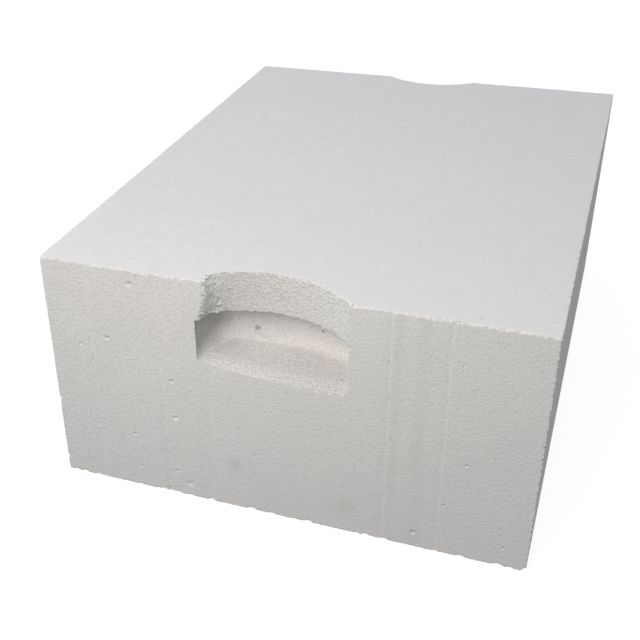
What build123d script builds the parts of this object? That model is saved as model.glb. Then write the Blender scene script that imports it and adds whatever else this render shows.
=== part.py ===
"""Aerated concrete wall block, sawn square from the cast cake, with a grip milled into each end.

Each grip has two stages. The palm recess is open to the top face, and the finger pocket under its lip
goes further in, so that a hand can curl up behind the lip. Both have a back wall that bows in to its middle.
Millimetres, +Z up, length along X, origin at the middle of the bottom face.
"""

import os
from dataclasses import dataclass

from build123d import *

# Block
block_length = 499.0
block_width = 375.0
block_height = 199.0

# Both grips: how high each stage is, how far the fingers reach in behind the lip, and the finger pocket's form
lip_height = 33.0
pocket_height = 41.5
pocket_width = 114.5
pocket_bow = 16.0
pocket_corner_radius = 14.0
pocket_floor_radius = 8.0
finger_reach = 33.1

# Near grip, milled the deeper of the two, and askew: for someone who faces that end, its palm recess ends
# in a wall at the left and runs out at the right. A shift is to the left too.
near_palm_width = 107.0
near_palm_depth = 27.1
near_palm_left_shoulder = 12.2
near_palm_right_shoulder = 1.7
near_palm_left_corner_radius = 4.0
near_palm_right_corner_radius = 1.5
near_palm_shift = 4.0
near_pocket_shift = 7.0

# Far grip, milled less deep and narrower at the palm
far_palm_width = 84.0
far_palm_depth = 15.5
far_palm_shoulder = 1.0
far_palm_corner_radius = 1.5
far_palm_shift = 2.0
far_pocket_shift = 2.0

# How far every cut starts outside the block
cut_overrun = 5.0


@dataclass
class Stage:
    """One stage of a grip: its plan has straight shoulders at the face, then the bowed back wall.

    The depth is measured at the middle of the width.
    """

    width: float
    depth: float
    left_shoulder: float
    right_shoulder: float
    left_corner_radius: float
    right_corner_radius: float
    shift: float


def finger_stage(palm, shift):
    """The finger pocket that goes in behind a palm recess."""
    depth = palm.depth + finger_reach
    shoulder = depth - pocket_bow
    return Stage(
        pocket_width, depth, shoulder, shoulder, pocket_corner_radius, pocket_corner_radius, shift
    )


def plan_of(stage, level):
    """A stage's plan on a level plane, whose X goes into the block from the end face."""
    left = stage.shift + stage.width / 2
    right = stage.shift - stage.width / 2
    with BuildSketch(level) as plan:
        with BuildLine():
            back = ThreePointArc(
                (stage.right_shoulder, right),
                (stage.depth, stage.shift),
                (stage.left_shoulder, left),
            )
            Polyline(back @ 1, (-cut_overrun, left), (-cut_overrun, right), back @ 0)
        make_face()
        left_corner = plan.vertices().group_by(Axis.Y)[-1].sort_by(Axis.X)[-1]
        fillet(left_corner, stage.left_corner_radius)
        right_corner = plan.vertices().group_by(Axis.Y)[0].sort_by(Axis.X)[-1]
        fillet(right_corner, stage.right_corner_radius)
    return plan.sketch


# Each end's own plane lies on the top face: X goes into the block, and Y to the left of someone facing it
near_end = Plane(origin=(block_length / 2, 0, block_height), x_dir=(-1, 0, 0), z_dir=(0, 0, 1))
far_end = Plane(origin=(-block_length / 2, 0, block_height), x_dir=(1, 0, 0), z_dir=(0, 0, 1))

near_palm = Stage(
    near_palm_width,
    near_palm_depth,
    near_palm_left_shoulder,
    near_palm_right_shoulder,
    near_palm_left_corner_radius,
    near_palm_right_corner_radius,
    near_palm_shift,
)
far_palm = Stage(
    far_palm_width,
    far_palm_depth,
    far_palm_shoulder,
    far_palm_shoulder,
    far_palm_corner_radius,
    far_palm_corner_radius,
    far_palm_shift,
)
grips = [
    (near_end, near_palm, finger_stage(near_palm, near_pocket_shift)),
    (far_end, far_palm, finger_stage(far_palm, far_pocket_shift)),
]

with BuildPart() as block:
    # The sawn block
    Box(block_length, block_width, block_height, align=(Align.CENTER, Align.CENTER, Align.MIN))

    for end, palm, fingers in grips:
        # The palm recess goes from above the top face down to the lip
        add(plan_of(palm, end.offset(cut_overrun)))
        extrude(amount=-(cut_overrun + lip_height), mode=Mode.SUBTRACT)

        # The finger pocket goes on down from the lip, and its floor folds up into its walls
        add(plan_of(fingers, end.offset(-lip_height)))
        extrude(amount=-pocket_height, mode=Mode.SUBTRACT)
        floor_outline = block.edges(Select.LAST).group_by(Axis.Z)[0]
        fold = floor_outline.sort_by(Axis(end.origin, end.x_dir))[1:]
        fillet(fold, pocket_floor_radius)

block.part.label = "block"

os.makedirs("parts", exist_ok=True)
export_step(block.part, "parts/block.step")
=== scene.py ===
# %% [markdown]
# # An aerated concrete wall block
# The real block is sawn out of a big cake of foamed concrete while it is still soft. It is then
# hardened in steam, and a grip is milled into each end. It is one solid lump, so this scene has one
# piece.
#
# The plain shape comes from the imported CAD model, which is the fixed frame. What is added here is what
# the saw wires, the mill and rough handling leave behind: crumbled edges, open pores, wire lines, a
# torn palm wall, and a finish for each cut.

import math
import random
from dataclasses import dataclass

import bmesh
import bpy
from mathutils import Matrix, Vector, noise
from mathutils.kdtree import KDTree


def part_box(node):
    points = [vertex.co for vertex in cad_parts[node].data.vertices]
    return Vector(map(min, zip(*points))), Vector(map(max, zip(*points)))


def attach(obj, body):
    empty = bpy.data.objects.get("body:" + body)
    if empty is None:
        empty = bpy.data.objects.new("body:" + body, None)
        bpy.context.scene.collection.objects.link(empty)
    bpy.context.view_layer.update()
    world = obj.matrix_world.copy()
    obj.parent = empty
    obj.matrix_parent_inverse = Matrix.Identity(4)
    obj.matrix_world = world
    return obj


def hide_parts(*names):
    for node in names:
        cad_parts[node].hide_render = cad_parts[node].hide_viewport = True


mm = 0.001
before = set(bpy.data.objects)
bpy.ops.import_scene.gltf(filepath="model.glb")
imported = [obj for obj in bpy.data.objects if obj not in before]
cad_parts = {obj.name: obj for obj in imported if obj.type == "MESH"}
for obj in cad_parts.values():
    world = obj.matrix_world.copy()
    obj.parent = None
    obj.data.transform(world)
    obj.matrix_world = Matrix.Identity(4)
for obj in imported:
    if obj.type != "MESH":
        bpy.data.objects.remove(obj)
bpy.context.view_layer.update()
low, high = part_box("block")
print("block size in mm:", [round(side / mm, 1) for side in high - low])

# %% [markdown]
# ## The camera
# The photograph looks down on a corner of the block from close by, so its edges converge strongly. The
# camera's place and directions were worked out from those edges. The photograph is also cropped off
# centre, and a lens shift does the same here: it slides the picture without bending the perspective,
# which turning the camera would do.

# %% Place the camera
camera_place = Vector((0.8218, 0.2000, 0.5338))
look_direction = Vector((-0.7921, -0.3153, -0.5226)).normalized()
picture_right = Vector((-0.3534, 0.9350, -0.0283))
picture_right = (picture_right - picture_right.project(look_direction)).normalized()
picture_up = picture_right.cross(look_direction)

camera_data = bpy.data.cameras.new("camera")
camera_data.lens = 57.0
camera_data.sensor_width = 36.0
camera_data.shift_x = 0.1214
camera_data.shift_y = 0.0322
camera = bpy.data.objects.new("camera", camera_data)
camera_turn = Matrix((picture_right, picture_up, -look_direction)).transposed()
camera.matrix_world = Matrix.Translation(camera_place) @ camera_turn.to_4x4()
bpy.context.scene.collection.objects.link(camera)
bpy.context.scene.camera = camera
print("camera looks down by", round(math.degrees(math.asin(-look_direction.z)), 1), "degrees")

# %% [markdown]
# ## Light and floor
# The block stands in daylight from above, which makes its top the brightest face and leaves the right
# side grey and a little blue. A soft, warm lamp close to the camera lights the end and reaches far into
# the finger pocket. Two weaker lamps at the left, one high and one low, make the whole block fade from
# left to right. All are discs, because a small source would draw a hard shadow under the lip of the
# grip.
#
# The floor is white to the eye and takes the block's shadow, but it sends no light back to the block: a
# white floor would light the end from below, and on the real picture the end gets darker towards the
# ground. An object's ray visibility switches that off. For the same reason the daylight comes only from
# the upper half of the world. Where the camera looks straight at the world, it is a white backdrop.

# %% Hang the lamps
lamp_target = Vector((0.2, 0.0, 0.15))
width_by_distance = 0.3


def hang_lamp(name, azimuth, elevation, distance, watts, colour):
    """A soft disc lamp that shines on the near grip.

    The azimuth is 0 straight before the near end, and less to the left.
    """
    data = bpy.data.lights.new(name, "AREA")
    data.shape = "DISK"
    data.size = width_by_distance * distance
    data.energy = watts
    data.color = colour
    turn, rise = math.radians(azimuth), math.radians(elevation)
    away = Vector((math.cos(turn) * math.cos(rise), math.sin(turn) * math.cos(rise), math.sin(rise)))
    lamp = bpy.data.objects.new(name, data)
    facing = (-away).to_track_quat("-Z", "Y").to_matrix().to_4x4()
    lamp.matrix_world = Matrix.Translation(lamp_target + away * distance) @ facing
    bpy.context.scene.collection.objects.link(lamp)
    print(name, "hangs", round(lamp.matrix_world.translation.z, 2), "m above the floor")


hang_lamp("front_lamp", azimuth=-5, elevation=36, distance=0.75, watts=1.9, colour=(1.0, 0.96, 0.83))
hang_lamp("high_left_lamp", azimuth=-25, elevation=45, distance=1.6, watts=3.5, colour=(1.0, 0.82, 0.82))
hang_lamp("low_left_lamp", azimuth=-75, elevation=6, distance=1.6, watts=2.7, colour=(0.86, 1.0, 1.0))

# %% Fill from the world
world = bpy.data.worlds.new("daylight")
world.use_nodes = True
bpy.context.scene.world = world
world_nodes, world_links = world.node_tree.nodes, world.node_tree.links
daylight = world_nodes["Background"]
daylight.inputs["Color"].default_value = (0.944, 0.968, 1.0, 1.0)
direction = world_nodes.new("ShaderNodeTexCoord")
upness = world_nodes.new("ShaderNodeSeparateXYZ")
horizon = world_nodes.new("ShaderNodeMapRange")
horizon.inputs["From Min"].default_value = -0.04
horizon.inputs["From Max"].default_value = 0.04
horizon.inputs["To Max"].default_value = 0.715
world_links.new(direction.outputs["Generated"], upness.inputs[0])
world_links.new(upness.outputs["Z"], horizon.inputs["Value"])
world_links.new(horizon.outputs[0], daylight.inputs["Strength"])
backdrop = world_nodes.new("ShaderNodeBackground")
ray_kind = world_nodes.new("ShaderNodeLightPath")
light_or_backdrop = world_nodes.new("ShaderNodeMixShader")
backdrop.inputs["Color"].default_value = (1.0, 1.0, 1.0, 1.0)
world_links.new(ray_kind.outputs["Is Camera Ray"], light_or_backdrop.inputs[0])
world_links.new(daylight.outputs[0], light_or_backdrop.inputs[1])
world_links.new(backdrop.outputs[0], light_or_backdrop.inputs[2])
world_links.new(light_or_backdrop.outputs[0], world_nodes["World Output"].inputs["Surface"])
bpy.context.scene.view_settings.view_transform = "Standard"
print("daylight of", horizon.inputs["To Max"].default_value)

# %% Lay the floor
floor_paint = bpy.data.materials.new("white_floor")
floor_paint.use_nodes = True
floor_shader = floor_paint.node_tree.nodes["Principled BSDF"]
floor_shader.inputs["Base Color"].default_value = (0.35, 0.35, 0.35, 1.0)
floor_shader.inputs["Roughness"].default_value = 1.0
floor_shader.inputs["Specular IOR Level"].default_value = 0.0
floor_shader.inputs["Emission Color"].default_value = (1.0, 1.0, 1.0, 1.0)
floor_shader.inputs["Emission Strength"].default_value = 0.8

floor_radius = 14.0
floor_mesh = bpy.data.meshes.new("floor")
bm = bmesh.new()
bmesh.ops.create_circle(bm, cap_ends=True, segments=64, radius=floor_radius)
bm.to_mesh(floor_mesh)
bm.free()
floor_mesh.materials.append(floor_paint)
floor = bpy.data.objects.new("floor", floor_mesh)
floor.visible_diffuse = False
floor.visible_glossy = False
bpy.context.scene.collection.objects.link(floor)
print("floor is", 2 * floor_radius, "m across")

# %% [markdown]
# ## The block's cut faces
# The CAD mesh is loose triangles, so a copy of it is merged into one skin first. `dissolve_limit` then
# joins the triangles of every flat face into one polygon. Each face is labelled with the cut that made
# it, in a layer of whole numbers that later cuts and subdivisions carry along. The edges where two
# labels meet are the edges that crumble.

# %% Copy and merge the CAD skin
block_mesh = bpy.data.meshes.new("aerated_block")
bm = bmesh.new()
bm.from_mesh(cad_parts["block"].data)
bmesh.ops.remove_doubles(bm, verts=bm.verts, dist=0.001 * mm)
bmesh.ops.dissolve_limit(bm, angle_limit=math.radians(0.2), verts=bm.verts, edges=bm.edges, delimit=set())
print("one skin of", len(bm.faces), "faces")

# %% Label every cut
CUTS = ["top", "bottom", "near end", "far end", "right wall", "left wall"]
CUTS += ["near palm", "far palm", "near pocket", "far pocket"]
TOP, BOTTOM, NEAR_END, FAR_END, RIGHT_WALL, LEFT_WALL = range(6)
NEAR_PALM, FAR_PALM, NEAR_POCKET, FAR_POCKET = range(6, 10)
lip_height = 33.0 * mm
lip_level = high.z - lip_height
cut_layer = bm.faces.layers.int.new("cut")


def cut_of(face):
    """Which cut made this face of the plain block."""
    middle, tiny = face.calc_center_median(), 0.01 * mm
    outer = {
        TOP: high.z - middle.z,
        BOTTOM: middle.z - low.z,
        NEAR_END: high.x - middle.x,
        FAR_END: middle.x - low.x,
        RIGHT_WALL: high.y - middle.y,
        LEFT_WALL: middle.y - low.y,
    }
    for cut, gap in outer.items():
        if gap < tiny:
            return cut
    if middle.z > lip_level + tiny:
        return NEAR_PALM if middle.x > 0 else FAR_PALM
    return NEAR_POCKET if middle.x > 0 else FAR_POCKET


for face in bm.faces:
    face[cut_layer] = cut_of(face)
print({name: sum(face[cut_layer] == cut for face in bm.faces) for cut, name in enumerate(CUTS)})

# %% [markdown]
# ## Which edges are worn
# Aerated concrete is soft, so its edges break away pore by pore. On this block the near top edge is
# ragged, the near bottom edge has lost flakes, the right edges are chipped, and the left and back edges
# of the top are still clean. The mouth of the finger pocket was rounded over by the mill. Each kind of
# edge gets a wear: how wide it is rubbed off, and how often, how wide and how deep lumps have broken
# out of it.
#
# The edges are found with the angle between their two faces. Points at every millimetre along them go
# into a KD tree, which later tells any vertex quickly how far it is from the nearest worn edge and
# which way is into the block there.


# %% Wear of each edge
@dataclass
class Wear:
    """How an edge is worn, in millimetres.

    rub is the width rubbed off, and gap the usual distance between broken-out lumps. lump and depth are
    the least and the most radius and depth of a lump, and mesh is how fine the mesh has to be there.
    """

    rub: float
    gap: float
    lump: tuple
    depth: tuple
    mesh: float = 1.2


clean = Wear(0.35, 14.0, (0.8, 1.6), (0.2, 0.6))
handled = Wear(0.7, 7.0, (1.0, 3.0), (0.3, 1.1))
torn = Wear(0.4, 4.0, (0.7, 1.6), (0.2, 0.8), 0.65)
WEARS = {
    (TOP, NEAR_END): Wear(0.35, 1.6, (0.7, 2.2), (0.3, 1.7), 0.6),
    (BOTTOM, NEAR_END): Wear(0.7, 5.0, (1.5, 6.0), (0.3, 1.0), 0.8),
    (NEAR_END, RIGHT_WALL): Wear(0.2, 2.4, (0.6, 1.5), (0.2, 0.8), 0.65),
    (NEAR_END, LEFT_WALL): Wear(0.4, 16.0, (1.0, 3.0), (0.2, 0.5), 1.0),
    (TOP, RIGHT_WALL): Wear(0.2, 2.6, (0.7, 1.7), (0.2, 0.9), 0.7),
    (TOP, LEFT_WALL): clean,
    (TOP, FAR_END): clean,
    (TOP, NEAR_PALM): Wear(0.35, 1.8, (0.7, 1.8), (0.3, 1.2), 0.65),
    (NEAR_END, NEAR_PALM): Wear(0.3, 5.0, (0.6, 1.4), (0.2, 0.6), 0.7),
    (NEAR_PALM, NEAR_POCKET): Wear(0.4, 3.0, (0.7, 1.6), (0.2, 0.8), 0.7),
    (NEAR_END, NEAR_POCKET): Wear(0.1, 9.0, (0.7, 1.3), (0.2, 0.4), 0.8),
}
# The left end of the near palm recess has been torn by use
torn_place, torn_reach = Vector((249.5, -57.5, 190.0)) * mm, 26 * mm
# Flakes along the ground come away upwards, so that edge is broken almost straight up
FLAKE_PUSH = {(BOTTOM, NEAR_END): Vector((-0.3, 0, 1)).normalized()}


def cuts_at(edge):
    """The two cuts that meet at an edge, lowest number first."""
    return tuple(sorted(face[cut_layer] for face in edge.link_faces))


# %% Points along the worn edges


def tree_of(points):
    """A KD tree of points, which tells the number of the nearest one."""
    tree = KDTree(len(points))
    for index, point in enumerate(points):
        tree.insert(point, index)
    tree.balance()
    return tree


sharp = math.radians(30)
worn_edges = [edge for edge in bm.edges if edge.is_convex and edge.calc_face_angle() > sharp]
worn_points = []
for edge in worn_edges:
    start, finish = (vert.co for vert in edge.verts)
    inward = -(edge.link_faces[0].normal + edge.link_faces[1].normal).normalized()
    inward = FLAKE_PUSH.get(cuts_at(edge), inward)
    wear = WEARS.get(cuts_at(edge), handled)
    steps = max(1, math.ceil((finish - start).length / mm))
    for step in range(steps + 1):
        point = start.lerp(finish, step / steps)
        near_tear = (point - torn_place).length < torn_reach
        worn_points.append((point, inward, torn if near_tear and wear is not handled else wear))
worn_tree = tree_of([point for point, _, _ in worn_points])
worn_length = sum(edge.calc_length() for edge in worn_edges)
print(len(worn_edges), "worn edges,", round(worn_length, 2), "m of them")

# %% [markdown]
# ## Pores and pits
# Foamed concrete is full of gas bubbles. The saw cuts most of them to a fine grain, which the material
# shows later. The few large ones are real hollows, so they are made in the mesh. A pore is a ball cut open
# by the face, so each is given as its middle on the face, the radius of its mouth and its depth, in
# millimetres. The ones that the picture shows are listed, and some more are scattered over the other sawn
# faces.

# %% List the pores
near_x, top_z = high.x / mm, high.z / mm
into_end, into_top = Vector((-1, 0, 0)), Vector((0, 0, -1))
end_pores = [
    (-114.9, 187.3, 2.6, 1.1),
    (-161.7, 128.1, 1.4, 1.0),
    (-138.2, 137.9, 1.8, 0.9),
    (-86.4, 108.8, 1.7, 1.2),
    (-85.5, 74.6, 2.2, 1.4),
    (-76.6, 12.4, 2.9, 1.1),
    (-121.9, 51.5, 1.3, 0.8),
    (-117.6, 20.2, 1.2, 0.9),
    (-87.3, 22.9, 1.2, 0.8),
    (-21.7, 53.4, 1.2, 0.8),
    (103.6, 13.3, 2.0, 1.2),
    (169.3, 17.3, 1.4, 0.9),
    (137.5, 84.5, 1.3, 0.8),
    (124.4, 45.3, 1.3, 0.8),
]
top_pores = [
    (-48.4, -144.0, 1.5, 0.8),
    (77.5, -102.2, 2.0, 1.0),
    (-157.7, 70.0, 1.4, 0.8),
    (-65.0, 9.2, 1.3, 0.7),
    (-2.8, 32.7, 1.4, 0.8),
    (-14.7, 56.4, 1.2, 0.7),
    (-74.0, 164.3, 1.4, 0.9),
    (73.4, 156.9, 2.2, 1.0),
    (188.6, 43.4, 1.3, 0.7),
    (188.0, 172.5, 1.5, 0.9),
    (220.2, 139.5, 1.3, 0.7),
]
back_wall_pores = [
    (193.5, -37.2, 132.8, 2.2, 2.8),
    (191.5, 15.2, 138.2, 1.2, 1.6),
]


def pore(x, y, z, inward, mouth, depth):
    """A pore in metres: its middle, the way into the block, and its mouth's radius and depth."""
    return Vector((x, y, z)) * mm, inward, mouth * mm, depth * mm


pores = [pore(near_x, y, z, into_end, *sizes) for y, z, *sizes in end_pores]
pores += [pore(x, y, z, into_end, *sizes) for x, y, z, *sizes in back_wall_pores]
pores += [pore(x, y, top_z, into_top, *sizes) for x, y, *sizes in top_pores]
print(len(pores), "pores seen in the picture")


# %% Scatter more pores over the other faces
def scatter_pores(chance, count, corner, along, across, inward):
    """Pores at random places on a face that starts at corner and runs along and across."""
    for _ in range(count):
        place = corner + along * chance.uniform(0.04, 0.96) + across * chance.uniform(0.04, 0.96)
        mouth = chance.uniform(0.9, 2.2) * mm
        pores.append((place, inward, mouth, mouth * chance.uniform(0.5, 0.7)))


chance = random.Random(11)
length = Vector((high.x - low.x, 0, 0))
width = Vector((0, high.y - low.y, 0))
height = Vector((0, 0, high.z))
below_grip = height * 0.58
scatter_pores(chance, 16, low, width, below_grip, Vector((1, 0, 0)))
scatter_pores(chance, 22, low, length, height, Vector((0, 1, 0)))
scatter_pores(chance, 22, low + width, length, height, Vector((0, -1, 0)))
scatter_pores(chance, 14, low, length, width, Vector((0, 0, 1)))
pore_tree = tree_of([place for place, _, _, _ in pores])
print(len(pores), "pores in all")

# %% [markdown]
# ## A mesh that is fine where it is worn
# A skin that is fine everywhere would need millions of faces. Instead, flat cuts through the block lay
# a coarse grid over every face, and then edges that are too long for their place are halved, again and
# again. Close to a worn edge or a pore the mesh ends up under a millimetre, and out on the flat faces
# it stays coarse.

# %% Lay a coarse grid
grid_step, snap = 12 * mm, 0.02 * mm
for axis in range(3):
    normal = Vector([float(axis == other) for other in range(3)])
    lines = int((high[axis] - low[axis]) / grid_step)
    for line in range(1, lines + 1):
        place = normal * (low[axis] + (high[axis] - low[axis]) * line / (lines + 1))
        everything = bm.verts[:] + bm.edges[:] + bm.faces[:]
        bmesh.ops.bisect_plane(bm, geom=everything, dist=snap, plane_co=place, plane_no=normal)
print("grid of", len(bm.faces), "faces")

# %% Cut the wire lines
# Each is where the saw wire rested for a moment: its place across the near end at the top and at the
# bottom, and its depth. It is a step: the face sinks slowly towards it from the left and comes back up
# steeply, so that light from the left draws it as a pale line. The cuts close to the steep part keep
# its smooth shading from spreading over the flat faces beside it.
wire_lines = [
    (-151.0, -152.6, 0.50),
    (-94.1, -93.5, 0.48),
    (-52.0, -55.9, 0.25),
    (80.2, 80.8, 0.42),
    (120.8, 121.7, 0.34),
]
step_width = 0.6
for top_y, bottom_y, _ in wire_lines:
    slope = (top_y - bottom_y) / top_z
    for side in (-8 * step_width, -2 * step_width, -step_width, 0.0, step_width):
        end_faces = [face for face in bm.faces if face[cut_layer] == NEAR_END]
        near_geometry = list(dict.fromkeys(vert for face in end_faces for vert in face.verts))
        near_geometry += list(dict.fromkeys(edge for face in end_faces for edge in face.edges)) + end_faces
        place = Vector((near_x, bottom_y + side, 0)) * mm
        across = Vector((0, 1, -slope))
        bmesh.ops.bisect_plane(bm, geom=near_geometry, dist=snap, plane_co=place, plane_no=across)
print(len(wire_lines), "wire lines cut,", len(bm.faces), "faces")

# %% Halve the edges that are too long
palm_mesh, pocket_mesh, growth = 1.1 * mm, 2.2 * mm, 0.5
cut_mesh = {
    NEAR_PALM: palm_mesh,
    FAR_PALM: 1.6 * palm_mesh,
    NEAR_POCKET: pocket_mesh,
    FAR_POCKET: 1.4 * pocket_mesh,
}


def wanted_length(point):
    """How long an edge may be at this point, from the nearest worn edge and the nearest pore."""
    _, index, distance = worn_tree.find(point)
    finest = worn_points[index][2].mesh * mm
    wanted = finest + growth * max(0.0, distance - 2.2 * mm)
    _, index, distance = pore_tree.find(point)
    mouth = pores[index][2]
    return min(wanted, 0.4 * mouth + growth * max(0.0, distance - 1.2 * mouth))


for turn in range(6):
    bm.verts.index_update()
    wanted = [wanted_length(vert.co) for vert in bm.verts]
    too_long = []
    for edge in bm.edges:
        first, second = edge.verts
        limit = min(wanted[first.index], wanted[second.index], wanted_length((first.co + second.co) / 2))
        limit = min([limit] + [cut_mesh.get(face[cut_layer], limit) for face in edge.link_faces])
        if edge.calc_length() > 1.4 * limit:
            too_long.append(edge)
    if not too_long:
        break
    bmesh.ops.subdivide_edges(bm, edges=too_long, cuts=1, use_grid_fill=True)
    bmesh.ops.triangulate(bm, faces=[face for face in bm.faces if len(face.verts) > 4])
    print("turn", turn, "has", len(bm.faces), "faces")

# %% [markdown]
# ## Where the mill wandered
# The near grip is not as true as its drawing. The rim of the finger pocket rises towards the left, and
# towards the lip the left wall of the palm recess leans out to meet the pocket's left edge. These are
# whole shapes, so the fine mesh is simply bent to follow them, and so are the points along the worn
# edges. The mouth's lower left corner is sharper than drawn too.
#
# The mouth's edges are also worn round by hands. The pocket's floor sags towards its rim, most at the
# left and not at all at the right. The left edge of the palm recess is rolled over: there the wall
# behind the edge goes round a quarter circle that starts flush with the end, so no hard line is left
# between them. Below the top, that wall also slants.

# %% Bend the near grip


def ramp(value, start, finish):
    """0 before start, 1 after finish, and smooth between."""
    share = min(max((value - start) / (finish - start), 0.0), 1.0)
    return share * share * (3 - 2 * share)


pocket_floor, floor_fold = 124.5 * mm, 8 * mm
pocket_left, pocket_right = -64.25 * mm, 50.25 * mm
palm_left, palm_lean = -57.5 * mm, 5.0 * mm
rim_rise, back_drop, mouth_lean = 7.5 * mm, 1.7 * mm, 0.3 * mm
blend = 14 * mm
sharpness, corner_reach = 8, 2.5


def fade_in(point):
    """1 at the end's face, and 0 deep in the grip."""
    return 1 - ramp(high.x - point.x, 8 * mm, 36 * mm)


def squared_off(point):
    """How far a point by the mouth's lower left corner moves.

    There the drawn quarter circle becomes a sharper corner, because its points move away from its middle.
    """
    across = max(0.0, (pocket_left + floor_fold - point.y) / floor_fold)
    down = max(0.0, (pocket_floor + floor_fold - point.z) / floor_fold)
    reach = math.hypot(across, down)
    if across * down == 0.0 or reach > corner_reach:
        return Vector((0, 0, 0))
    squareness = reach / (across ** sharpness + down ** sharpness) ** (1 / sharpness) - 1
    share = squareness * min(1.0, (corner_reach - reach) / (corner_reach - 1)) * fade_in(point) * floor_fold
    return Vector((0, -across, -down)) / max(reach, 1.0) * share


def bent(point):
    """Where a point of the near grip goes, or a point of the end close to it."""
    at_floor = ramp(point.z, pocket_floor - 16 * mm, pocket_floor)
    at_floor *= 1 - ramp(point.z, pocket_floor, lip_level - 6 * mm)
    beside = ramp(point.y, pocket_left - blend, pocket_left)
    beside *= 1 - ramp(point.y, pocket_right, pocket_right + blend)
    leftness = min(max((20 * mm - point.y) / (20 * mm - pocket_left), 0.0), 1.0)
    rise = rim_rise * leftness ** 2 * (1 - 0.3 * ramp(high.x - point.x, 8 * mm, 60 * mm))
    drop = (back_drop * (1 - fade_in(point)) - rise) * at_floor * beside
    below_top = min(max((high.z - point.z) / (high.z - lip_level), 0.0), 1.0)
    in_mouth = ramp(point.z, lip_level - blend, lip_level)
    squeezed = min(max((point.y - pocket_left) / (palm_left - pocket_left), 0.0), 1.0)
    by_palm_wall = 1 - ramp(point.y, palm_left, palm_left + 30 * mm)
    lean = palm_lean * below_top ** 3 * in_mouth * squeezed * by_palm_wall
    by_left_edge = 1 - ramp(abs(point.y - pocket_left), 0.0, blend)
    at_lip = ramp(point.z, pocket_floor + floor_fold, lip_level)
    at_lip *= 1 - ramp(point.z, lip_level, lip_level + blend)
    lean += mouth_lean * by_left_edge * at_lip * fade_in(point)
    return point - Vector((0, lean, drop)) + squared_off(point)


for vert in bm.verts:
    if {face[cut_layer] for face in vert.link_faces} & {NEAR_END, NEAR_PALM, NEAR_POCKET}:
        vert.co = bent(vert.co)
behind_grip = 180 * mm
worn_points = [
    (bent(point) if point.x > behind_grip else point, inward, wear)
    for point, inward, wear in worn_points
]
worn_tree = tree_of([point for point, _, _ in worn_points])
print("rim rises by", rim_rise / mm, "mm at the left, and the palm wall leans by", palm_lean / mm, "mm")

# %% Round the edges of the mouth
left_sag, sag_reach = 1.4 * mm, 14 * mm
top_roll, lip_roll = 2.5 * mm, 1.5 * mm
wall_slant, slant_reach = 0.3, 12 * mm
rounded = 0
for vert in bm.verts:
    cuts = {face[cut_layer] for face in vert.link_faces}
    depth = high.x - vert.co.x
    if NEAR_PALM in cuts:
        below = high.z - vert.co.z
        radius = top_roll + (lip_roll - top_roll) * below / (high.z - lip_level)
        share = 1 - ramp(vert.co.y, palm_left, palm_left + blend)
        angle = min(depth / radius, 1.0) * math.pi / 2
        slant = wall_slant * min(depth, slant_reach) * ramp(below, 0.0, slant_reach)
        vert.co.y += (radius * math.sin(angle) + slant) * share * fade_in(vert.co)
        if depth < radius:
            vert.co.x += (depth - radius * (1 - math.cos(angle))) * share
    elif NEAR_POCKET in cuts:
        sag = left_sag * (1 - ramp(vert.co.y, -50 * mm, 40 * mm))
        share = 1 - ramp(vert.co.z, pocket_floor, pocket_floor + 10 * mm)
        rise = 1 - max(0.0, 1 - depth / sag_reach) ** 2
        vert.co.z += sag * rise * share * fade_in(vert.co)
    else:
        continue
    rounded += depth < sag_reach
print(rounded, "vertices rounded")

# %% Soften the torn corner
soft_reach, soft_turns = 28 * mm, 70
soft_corner = []
for vert in bm.verts:
    inside = all(face[cut_layer] == NEAR_PALM for face in vert.link_faces)
    if inside and vert.co.y < palm_left + soft_reach and high.x - vert.co.x > 3 * mm:
        soft_corner.append(vert)
for _ in range(soft_turns):
    bmesh.ops.smooth_vert(bm, verts=soft_corner, factor=0.5, use_axis_x=True, use_axis_y=True)
print(len(soft_corner), "vertices of the corner softened")

# %% [markdown]
# ## Wearing the edges
# First every worn edge is rubbed down: vertices nearer to the edge than the rubbed width move onto a
# slope between the two faces. The width changes along the edge with a smooth noise, so the edge line
# wavers. Then lumps break out. A lump is a ball that sits partly outside the edge, and every vertex
# inside the ball is pushed into the block until it lies on the ball's skin. Balls leave the sharp
# little hollows that broken pores leave. Everything moves inwards, so the block never grows past its
# sawn size.

# %% Rub the edges


def waver(point, size, spread):
    """A factor around 1 that changes along the block over about this size."""
    return 1 + spread * noise.noise(point / (size * mm))


crumbled = set()
bm.verts.index_update()
for vert in bm.verts:
    point, index, distance = worn_tree.find(vert.co)
    _, inward, wear = worn_points[index]
    width = wear.rub * mm * waver(point, 9.0, 0.55) * waver(vert.co, 2.1, 0.75)
    if distance < width:
        vert.co += inward * (width - distance) / math.sqrt(2)
        crumbled.add(vert.index)
print(len(crumbled), "vertices rubbed")

# %% Break out the lumps
bm.verts.ensure_lookup_table()
skin_tree = tree_of([vert.co for vert in bm.verts])
moved_since = 3 * mm


def break_out(middle, radius, inward):
    """Pushes every vertex inside the ball inwards onto the ball's skin, and returns their numbers.

    The tree still has the places from before the first lump, so it is searched a little past the ball.
    """
    pushed = set()
    for _, index, _ in skin_tree.find_range(middle, radius + moved_since):
        vert = bm.verts[index]
        offset = vert.co - middle
        if offset.length_squared < radius * radius:
            along = offset.dot(inward)
            vert.co += inward * (math.sqrt(along * along - offset.length_squared + radius * radius) - along)
            pushed.add(index)
    return pushed


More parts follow.
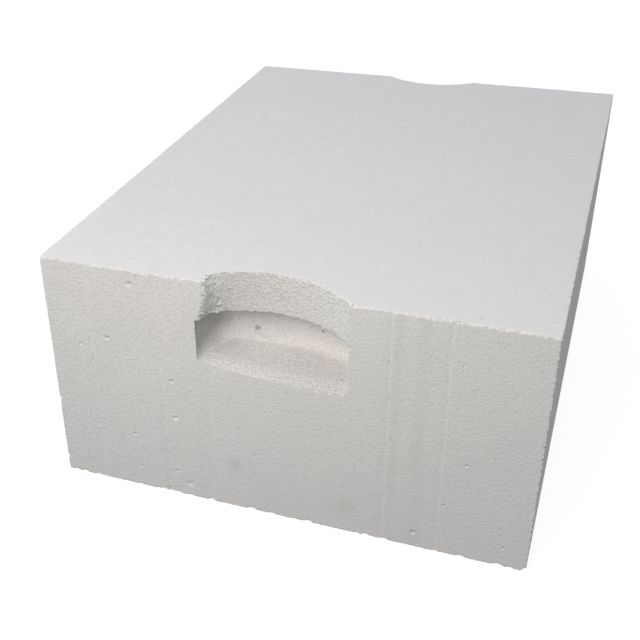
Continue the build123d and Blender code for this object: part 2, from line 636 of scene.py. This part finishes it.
chance = random.Random(23)
lumps = 0
for point, inward, wear in worn_points:
    if chance.random() > 1.0 / wear.gap:
        continue
    radius = chance.uniform(*wear.lump) * mm
    depth = min(chance.uniform(*wear.depth) * mm, 0.9 * radius)
    aside = Vector((chance.uniform(-1, 1), chance.uniform(-1, 1), chance.uniform(-1, 1))) * 0.35 * radius
    crumbled |= break_out(point - inward * (radius - depth) + aside, radius, inward)
    lumps += 1
print(lumps, "lumps broken out of the edges")

# %% Tear the left wall of the palm recess
torn_lumps = 40
torn_wall = [vert.co.copy() for vert in soft_corner if vert.co.y < palm_left + 7 * mm]
into_wall = Vector((-0.4, -1, 0)).normalized()
for place in chance.sample(torn_wall, torn_lumps):
    radius = chance.uniform(1.2, 2.6) * mm
    depth = chance.uniform(0.2, 0.45) * radius
    break_out(place - into_wall * (radius - depth), radius, into_wall)
print(torn_lumps, "lumps torn out of the left wall")

# %% Break the corners
corners = [Vector((x, y, z)) for x in (low.x, high.x) for y in (low.y, high.y) for z in (low.z, high.z)]
for corner in corners:
    upward = 1 if corner.z == low.z else -1
    inward = Vector((-math.copysign(1, corner.x), -math.copysign(1, corner.y), upward)).normalized()
    radius = chance.uniform(4, 7) * mm
    depth = chance.uniform(0.8, 1.8) * mm
    crumbled |= break_out(corner - inward * (radius - depth), radius, inward)
# The near end's bottom right corner has lost the most
corner = Vector((high.x, high.y, low.z))
inward = Vector((-0.6, -1, 1)).normalized()
radius, depth = 8.0 * mm, 3.2 * mm
crumbled |= break_out(corner - inward * (radius - depth), radius, inward)
print(len(corners), "corners broken, one of them twice")

# %% Open the pores and press in the wire lines
small_pore, flush = 1.8 * mm, 0.05 * mm
in_shade = set()
for place, inward, mouth, depth in pores:
    ball = (mouth * mouth + depth * depth) / (2 * depth)
    pushed = break_out(place - inward * (ball - depth), ball, inward)
    if inward == into_end and place.x < high.x:
        in_shade |= pushed
    elif mouth < small_pore:
        crumbled |= pushed
for vert in bm.verts:
    if abs(vert.co.x - high.x) > flush:
        continue
    for top_y, bottom_y, depth in wire_lines:
        line_y = (bottom_y + (top_y - bottom_y) * vert.co.z / high.z) * mm
        before = (line_y - vert.co.y) / (step_width * mm)
        share = max(0.0, min(before, (8 - before) / 7))
        vert.co.x -= depth * mm * share * waver(vert.co, 14.0, 0.4)
print(len(pores), "pores opened and", len(wire_lines), "wire lines pressed in")

# %% [markdown]
# ## The torn palm wall
# The mill tears the pores open where the hand goes, so the wall of the palm recess is the roughest
# surface of the block. It is fine enough by now to be roughened in the mesh: every vertex of the wall
# moves a little into the concrete, by a noise at the size of the pores. Its left wall is torn deepest,
# and the finger pocket below is smoother and gets much less.

# %% Roughen the grips
palm_tear, pocket_tear, left_tear = 0.4 * mm, 0.25 * mm, 1.1 * mm
tears = {NEAR_PALM: palm_tear, FAR_PALM: palm_tear, NEAR_POCKET: pocket_tear, FAR_POCKET: pocket_tear}
bm.normal_update()
torn_count = 0
for vert in bm.verts:
    cuts = {face[cut_layer] for face in vert.link_faces}
    if not cuts <= set(tears):
        continue
    tear = max(tears[cut] for cut in cuts)
    if vert.co.x > 0:
        tear += left_tear * (1 - ramp(vert.co.y, palm_left, palm_left + blend))
    pattern = 0.5 + 0.4 * noise.noise(vert.co / (2.0 * mm)) + 0.4 * noise.noise(vert.co / (1.1 * mm))
    vert.co -= vert.normal * tear * max(0.0, pattern)
    torn_count += 1
print(torn_count, "vertices torn")

# %% Make the block
BED, END, WALL, PALM, POCKET, CRUMBLED, SHADED = range(7)
FINISHES = {TOP: BED, BOTTOM: BED, NEAR_END: END, FAR_END: END, RIGHT_WALL: WALL, LEFT_WALL: WALL}
FINISHES.update({NEAR_PALM: PALM, FAR_PALM: PALM, NEAR_POCKET: POCKET, FAR_POCKET: POCKET})
for face in bm.faces:
    face.smooth = True
    face.material_index = FINISHES[face[cut_layer]]
    for noted, finish in ((crumbled, CRUMBLED), (in_shade, SHADED)):
        if 2 * sum(vert.index in noted for vert in face.verts) > len(face.verts):
            face.material_index = finish
bmesh.ops.triangulate(bm, faces=[face for face in bm.faces if len(face.verts) > 4])
bm.to_mesh(block_mesh)
triangles = sum(len(face.verts) - 2 for face in bm.faces)
open_edges = sum(len(edge.link_faces) != 2 for edge in bm.edges)
bm.free()
block_mesh.set_sharp_from_angle(angle=math.radians(38))
block = bpy.data.objects.new("aerated_block", block_mesh)
bpy.context.scene.collection.objects.link(block)
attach(block, "root")
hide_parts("block")
print("block has", triangles, "triangles and", open_edges, "open edges")

# %% [markdown]
# ## The finishes
# All finishes are the same white concrete, and differ in what the tool did to it and in the light and shade
# painted into them: painted shade in pores and on broken foam, and painted gradients of light and shade on
# some faces. Each is one Principled shader with a grain for its height and its colour, read from Object
# coordinates in metres. The shader is almost fully rough, and keeps only a trace of shine, as dry mineral
# foam does.


# %% A small node helper
class Finish:
    """One concrete finish: its nodes, and the steps that every finish shares."""

    def __init__(self, name, specular):
        self.material = bpy.data.materials.new(name)
        self.material.use_nodes = True
        self.tree = self.material.node_tree
        self.shader = self.tree.nodes["Principled BSDF"]
        self.shader.inputs["Roughness"].default_value = 0.95
        self.shader.inputs["Specular IOR Level"].default_value = specular
        self.coordinates = self.add("ShaderNodeTexCoord").outputs["Object"]

    def add(self, kind, **inputs):
        """A node with its inputs set or linked. An underscore in an input's name stands for a space."""
        node = self.tree.nodes.new(kind)
        for name, value in inputs.items():
            self.put(node.inputs[name.replace("_", " ")], value)
        return node

    def put(self, socket, value):
        """Sets an input to a value, or links it to another node's output."""
        if isinstance(value, bpy.types.NodeSocket):
            self.tree.links.new(value, socket)
        else:
            socket.default_value = value

    def along(self, axis):
        """One of the coordinates, in metres."""
        return self.add("ShaderNodeSeparateXYZ", Vector=self.coordinates).outputs[axis]

    def faces_up(self):
        """How far the surface faces up, from 1 on a floor to 0 on an upright wall."""
        normal = self.coordinates.node.outputs["Normal"]
        return self.add("ShaderNodeSeparateXYZ", Vector=normal).outputs["Z"]

    def band(self, axis, middle, half_width):
        """1 in the middle of a band across an axis, and 0 from this half width on, in millimetres."""
        offset = self.math("SUBTRACT", self.along(axis), middle * mm)
        return self.spread(self.math("ABSOLUTE", offset, 0.0), 0.0, half_width * mm, 1.0, 0.0)

    def stretched(self, scale):
        """The coordinates, stretched by axis."""
        return self.add("ShaderNodeMapping", Vector=self.coordinates, Scale=scale).outputs[0]

    def grain(self, size, detail=2.0, roughness=0.5, where=None):
        """Noise with lumps of about this size in millimetres, from 0 to 1."""
        place = self.coordinates if where is None else where
        scale = 1.0 / (size * mm)
        node = self.add("ShaderNodeTexNoise", Vector=place, Scale=scale, Detail=detail, Roughness=roughness)
        return node.outputs[0]

    def math(self, operation, first, second):
        """One step of arithmetic with two values."""
        node = self.tree.nodes.new("ShaderNodeMath")
        node.operation = operation
        self.put(node.inputs[0], first)
        self.put(node.inputs[1], second)
        return node.outputs[0]

    def spread(self, value, low_in, high_in, low_out, high_out):
        """Maps a range of values to another, and stops at its ends."""
        ends = {"From_Min": low_in, "From_Max": high_in, "To_Min": low_out, "To_Max": high_out}
        return self.add("ShaderNodeMapRange", Value=value, **ends).outputs[0]

    def open_pores(self, spacing, mouth, share):
        """Round pores: 1 inside and 0 outside.

        This share of the cells has one, of any size up to the mouth's radius.
        """
        node = self.add("ShaderNodeTexVoronoi", Vector=self.coordinates, Scale=1.0 / (spacing * mm))
        lot = self.add("ShaderNodeSeparateColor", Color=node.outputs["Color"]).outputs[0]
        radius = self.spread(lot, 1.0 - share, 1.0, 0.0, mouth / spacing)
        inside = self.math("SUBTRACT", radius, node.outputs["Distance"])
        return self.spread(inside, 0.0, 0.4 * mouth / spacing, 0.0, 1.0)

    def crumbs(self, size):
        """Rounded grains, about this wide in millimetres: 1 on their tops and 0 deep between them."""
        node = self.add("ShaderNodeTexVoronoi", Vector=self.coordinates, Scale=1.0 / (size * mm))
        return self.spread(node.outputs["Distance"], 0.1, 0.8, 1.0, 0.0)

    def bump(self, height, depth, under=None):
        """Tilts the surface by a height from 0 to 1, this deep in millimetres, on top of another bump."""
        node = self.add("ShaderNodeBump", Height=height, Distance=depth * mm, Strength=1.0)
        if under is not None:
            self.tree.links.new(under, node.inputs["Normal"])
        return node.outputs[0]

    def tint(self, share, pale, dark):
        """A colour between two, by a share from 0 to 1."""
        node = self.tree.nodes.new("ShaderNodeMix")
        node.data_type = "RGBA"
        self.put(node.inputs[0], share)
        self.put(node.inputs[6], pale)
        self.put(node.inputs[7], dark)
        return node.outputs[2]

    def done(self, colour, normal):
        """Links the colour and the relief to the shader, and gives the finish to the block."""
        self.tree.links.new(colour, self.shader.inputs["Base Color"])
        self.tree.links.new(normal, self.shader.inputs["Normal"])
        block_mesh.materials.append(self.material)
        print(self.material.name, "has", len(self.tree.nodes), "nodes")


# %% [markdown]
# ### The sawn bed
# The top is the smoothest and whitest face. It is painted greyer to the right as painted shade, and a
# little greyer to the front. Its pores are painted darker, as painted shade in their hollows. The wires
# have left faint lines across its width and fainter ones along its length, closer together than pencil
# lines. Their pattern is a noise that is stretched along the lines.

# %% Sawn bed
bed = Finish("sawn_bed", 0.15)
saw_lines = bed.grain(6.0, 5.0, 0.8, bed.stretched((1.0, 0.02, 1.0)))
long_lines = bed.grain(7.0, 4.0, 0.75, bed.stretched((0.012, 1.0, 1.0)))
dust = bed.grain(3.0, 3.0, 0.7)
mottle = bed.grain(9.0, 4.0, 0.75)
cloud = bed.grain(55.0, 4.0, 0.65)
bed_pores = bed.open_pores(12.0, 1.6, 0.5)
# Painted shade: the top is painted greyer towards the right.
painted_shade_right = bed.spread(bed.along("Y"), low.y, high.y, 0.0, 0.5)
clouded = bed.spread(cloud, 0.32, 0.68, 0.7, 0.0)
bed_clouded = bed.tint(clouded, (0.912, 0.902, 0.901, 1), (0.80, 0.793, 0.795, 1))
bed_mottled = bed.tint(bed.spread(mottle, 0.34, 0.66, 1.0, 0.0), bed_clouded, (0.772, 0.766, 0.768, 1))
bed_dusty = bed.tint(bed.spread(dust, 0.25, 0.70, 0.55, 0.0), bed_mottled, (0.735, 0.728, 0.73, 1))
bed_crossed = bed.tint(bed.spread(saw_lines, 0.3, 0.7, 0.8, 0.0), bed_dusty, (0.750, 0.745, 0.750, 1))
bed_lined = bed.tint(bed.spread(long_lines, 0.35, 0.65, 0.5, 0.0), bed_crossed, (0.755, 0.750, 0.755, 1))
to_front = bed.spread(bed.along("X"), 0.05, high.x, 0.0, 0.15)
# Painted shade greys the top towards the right, and the top also gets a little greyer towards the front.
bed_with_painted_shade = bed.tint(bed.math("ADD", painted_shade_right, to_front), bed_lined, (0.66, 0.655, 0.66, 1))
# Pores are painted darker, as painted shade in their hollows.
bed_colour = bed.tint(bed.math("MULTIPLY", bed_pores, 0.25), bed_with_painted_shade, (0.50, 0.495, 0.49, 1))
bed_relief = bed.bump(dust, 0.3, bed.bump(saw_lines, 0.24))
bed.done(bed_colour, bed.bump(bed.math("SUBTRACT", 1.0, bed_pores), 0.3, bed_relief))

# %% [markdown]
# ### The wire-cut end
# The ends were cut before the cake had set hard, and the wire dragged crumbs out of them. That leaves an
# even grain like orange peel, fine open pores, painted darker as painted shade in their hollows, and
# upright grey streaks. There are a few soft stains from handling, and painted shade makes the tone greyer
# towards the ground and to the right.

# %% Wire-cut end
end = Finish("wire_cut_end", 0.12)
peel = end.grain(2.0, 2.0, 0.6)
drag = end.grain(2.4, 2.0, 0.5, end.stretched((1.0, 1.0, 0.04)))
pits = end.open_pores(2.2, 0.95, 0.75)
gas_pores = end.open_pores(6.0, 1.0, 0.7)
stain = end.grain(48.0, 3.0, 0.55)
rougher = end.spread(end.along("Y"), low.y, high.y, 1.0, 0.78)
# Painted shade: the end is painted greyer towards the ground and to the right.
painted_shade_low = end.spread(end.along("Z"), 0.0, 0.16, 0.6, 0.0)
painted_shade_on_end = end.math("ADD", painted_shade_low, end.spread(end.along("Y"), -0.10, high.y, 0.0, 0.9))
end_painted_shade = end.tint(painted_shade_on_end, (0.862, 0.856, 0.858, 1), (0.760, 0.758, 0.761, 1))
end_white = end.tint(end.spread(stain, 0.40, 0.68, 0.0, 0.6), end_painted_shade, (0.79, 0.785, 0.782, 1))
for y, half_width, share in ((-64.0, 7.0, 0.1), (85.0, 5.0, 0.4), (102.5, 7.0, 0.4)):
    streak = end.math("MULTIPLY", end.band("Y", y, half_width), share)
    end_white = end.tint(streak, end_white, (0.70, 0.695, 0.69, 1))
for y, z, reach in ((-38.2, 41.0, 9.0), (51.2, 25.5, 12.0), (101.9, 10.3, 9.0)):
    spot = end.math("MULTIPLY", end.band("Y", y, reach), end.band("Z", z, reach))
    end_white = end.tint(spot, end_white, (0.70, 0.695, 0.685, 1))
peeled = end.math("MULTIPLY", end.spread(peel, 0.25, 0.50, 0.7, 0.0), rougher)
end_grain = end.tint(peeled, end_white, (0.66, 0.65, 0.645, 1))
# The pits and gas pores are painted darker, as painted shade in their hollows.
pitting = end.math("MULTIPLY", pits, rougher)
end_pitted = end.tint(pitting, end_grain, (0.40, 0.395, 0.385, 1))
end_colour = end.tint(end.math("MULTIPLY", gas_pores, 0.6), end_pitted, (0.34, 0.335, 0.32, 1))
peel_height = end.math("MULTIPLY", peel, rougher)
end_peeled = end.bump(peel_height, 0.46, end.bump(drag, 0.08))
end_relief = end.bump(end.math("SUBTRACT", 1.0, pitting), 0.4, end_peeled)
end.done(end_colour, end.bump(end.math("SUBTRACT", 1.0, gas_pores), 0.6, end_relief))

# %% [markdown]
# ### The wire-cut wall face
# The long sides become the faces of the wall. They are cut like the ends, with the lines along the
# block, but the cake is firmer there and the grain finer.

# %% Wire-cut wall
wall = Finish("wire_cut_wall", 0.12)
wall_peel = wall.grain(1.5, 3.0, 0.6)
wall_drag = wall.grain(2.4, 2.0, 0.5, wall.stretched((0.04, 1.0, 1.0)))
wall_pores = wall.open_pores(6.5, 0.75, 0.45)
wall_cloud = wall.grain(55.0, 3.0)
wall_clouded = wall.spread(wall_cloud, 0.38, 0.66, 0.0, 1.0)
wall_white = wall.tint(wall_clouded, (0.86, 0.852, 0.838, 1), (0.835, 0.830, 0.818, 1))
wall_grain = wall.tint(wall.spread(wall_peel, 0.32, 0.52, 0.3, 0.0), wall_white, (0.70, 0.695, 0.68, 1))
# Pores are painted darker, as painted shade in their hollows.
wall_colour = wall.tint(wall.math("MULTIPLY", wall_pores, 0.6), wall_grain, (0.46, 0.455, 0.44, 1))
wall_relief = wall.bump(wall_peel, 0.30, wall.bump(wall_drag, 0.14))
wall.done(wall_colour, wall.bump(wall.math("SUBTRACT", 1.0, wall_pores), 0.5, wall_relief))

# %% [markdown]
# ### The milled palm wall and finger pocket
# The palm wall already has its coarse lumps in the mesh, so its material only adds the fine torn grain,
# painted shade over its left half and painted light at its very left end. The pocket was cut by the side of
# the mill, which leaves upright strokes. Its floor is painted whiter deep in and towards the left, as
# painted light where the lip and the left wall shade it, its rim is painted greyer towards the right as
# painted shade, and its left wall, where the mill came out, is torn and painted darker as painted shade.

# %% Milled palm wall
palm = Finish("milled_palm", 0.12)
torn_crumbs = palm.crumbs(2.0)
torn_grain = palm.grain(1.9, 2.0, 0.6)
# Painted light: the very left end of the palm wall, turned away from the lamps, is painted paler.
painted_light_left_end = palm.spread(palm.along("Y"), -58.0 * mm, -48.0 * mm, 1.0, 0.0)
# Painted shade: the left half of the palm wall is painted darker.
painted_shade_left_half = palm.spread(palm.along("Y"), -40.0 * mm, 0.0, 0.8, 0.0)
palm_painted_shade = palm.tint(painted_shade_left_half, (0.838, 0.831, 0.823, 1), (0.775, 0.769, 0.762, 1))
palm_painted_light = palm.tint(painted_light_left_end, palm_painted_shade, (0.930, 0.925, 0.912, 1))
palm_white = palm.tint(palm.spread(torn_crumbs, 0.0, 0.5, 0.4, 0.0), palm_painted_light, (0.60, 0.595, 0.585, 1))
palm_colour = palm.tint(palm.spread(torn_grain, 0.28, 0.48, 0.5, 0.0), palm_white, (0.58, 0.57, 0.56, 1))
palm.done(palm_colour, palm.bump(torn_grain, 0.6, palm.bump(torn_crumbs, 0.3)))

# %% Milled finger pocket
pocket = Finish("milled_pocket", 0.12)
strokes = pocket.grain(2.0, 2.0, 0.5, pocket.stretched((1.0, 1.0, 0.08)))
pocket_grain = pocket.grain(2.1, 2.0, 0.6)
pocket_crumbs = pocket.crumbs(2.2)
pocket_pores = pocket.open_pores(9.0, 1.0, 0.5)
# Painted light: the floor is painted whiter deep in and towards the left, where the lip and the left wall
# shade it.
on_floor = pocket.spread(pocket.faces_up(), 0.60, 0.92, 0.0, 1.0)
far_in = pocket.spread(pocket.along("X"), 228.0 * mm, 247.0 * mm, 1.0, 0.0)
leftward = pocket.spread(pocket.along("Y"), -35.0 * mm, 10.0 * mm, 1.0, 0.1)
painted_light_floor = pocket.math("MULTIPLY", pocket.math("MULTIPLY", on_floor, far_in), leftward)
# Painted shade: the rim is painted greyer, most towards the right, where the lamps light it strongly.
to_rim = pocket.spread(pocket.along("X"), 236.0 * mm, 249.0 * mm, 0.0, 1.0)
rim_painted_shade = pocket.math("MULTIPLY", to_rim, pocket.spread(pocket.along("Y"), -45.0 * mm, 0.0, 0.2, 1.0))
# Painted shade: the left wall, which faces away from the lamps, is painted darker above the floor.
off_floor = pocket.spread(pocket.along("Z"), 133.0 * mm, 142.0 * mm, 0.0, 1.0)
by_left_wall = pocket.spread(pocket.along("Y"), -64.0 * mm, -52.0 * mm, 0.8, 0.0)
painted_shade_left_wall = pocket.math("MULTIPLY", by_left_wall, off_floor)
pocket_painted_light = pocket.tint(painted_light_floor, (0.818, 0.806, 0.799, 1), (0.935, 0.925, 0.918, 1))
pocket_rim_painted_shade = pocket.tint(rim_painted_shade, pocket_painted_light, (0.735, 0.727, 0.722, 1))
pocket_left_wall_shade = pocket.tint(painted_shade_left_wall, pocket_rim_painted_shade, (0.48, 0.476, 0.46, 1))
between_grains = pocket.spread(pocket_grain, 0.30, 0.52, 0.6, 0.0)
pocket_dusty = pocket.tint(between_grains, pocket_left_wall_shade, (0.62, 0.61, 0.60, 1))
# Pores are painted darker, as painted shade in their hollows.
in_pores = pocket.math("MULTIPLY", pocket_pores, 0.7)
pocket_colour = pocket.tint(in_pores, pocket_dusty, (0.38, 0.37, 0.355, 1))
pocket_relief = pocket.bump(pocket_crumbs, 0.4, pocket.bump(strokes, 0.2))
pocket.done(pocket_colour, pocket.bump(pocket_grain, 0.65, pocket_relief))

# %% [markdown]
# ### The crumbled edges and the deep pores
# Where the skin has broken away, the foam itself shows. It is painted a little darker, as painted shade of
# the light that its open pores trap, and its pores darker still. A pore in the back wall of the finger
# pocket is deep for its width, and is painted dark, as painted shade of the light it traps.

# %% Crumbled edges
crumb = Finish("crumbled", 0.08)
crumb_grain = crumb.grain(1.5, 3.0, 0.7)
crumb_pores = crumb.open_pores(1.9, 0.9, 0.7)
between_crumbs = crumb.spread(crumb_grain, 0.30, 0.60, 0.7, 0.0)
# The broken foam is painted darker than the sawn faces, as painted shade.
crumb_white = crumb.tint(between_crumbs, (0.810, 0.800, 0.788, 1), (0.60, 0.59, 0.575, 1))
crumb_colour = crumb.tint(crumb.math("MULTIPLY", crumb_pores, 0.4), crumb_white, (0.46, 0.455, 0.44, 1))
crumb.done(crumb_colour, crumb.bump(crumb_grain, 1.0))

# %% Deep pores
shade = Finish("deep_pore", 0.0)
shade_grain = shade.grain(1.5, 3.0, 0.7)
# Painted shade: deep pores are painted dark.
shade_colour = shade.tint(shade_grain, (0.60, 0.59, 0.575, 1), (0.44, 0.435, 0.42, 1))
shade.done(shade_colour, shade.bump(shade_grain, 0.6))
